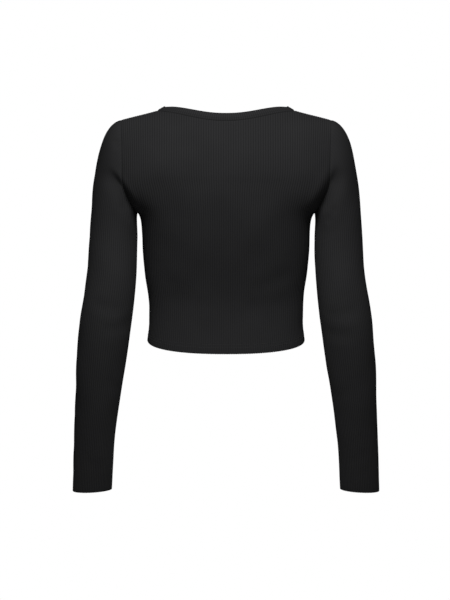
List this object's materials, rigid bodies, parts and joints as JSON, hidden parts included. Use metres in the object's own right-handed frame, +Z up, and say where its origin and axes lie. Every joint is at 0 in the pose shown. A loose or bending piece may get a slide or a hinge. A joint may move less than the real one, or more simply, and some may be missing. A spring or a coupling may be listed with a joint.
{
  "type": "long-sleeved crop top",
  "caption": "Long-sleeved crop top in black rib knit with a wide neck, neckband and turned-up hem and cuffs, hollow as worn.",
  "frame": {"origin": "midway between the two shoulder seams at the neck opening, where the wearer's shoulders carry the garment", "axes": "+Z up, +Y towards the garment's back, +X towards the wearer's left"},
  "size_m": [0.492, 0.2078, 0.6166],
  "materials": {
    "rib_knit": "matte fine rib knit",
    "band_knit": "matte folded knit band"
  },
  "bodies": {
    "root": {"back": "rib_knit", "front": "rib_knit", "sleeve_left": "rib_knit", "sleeve_right": "rib_knit", "neckband": "band_knit"}
  },
  "joints": []
}
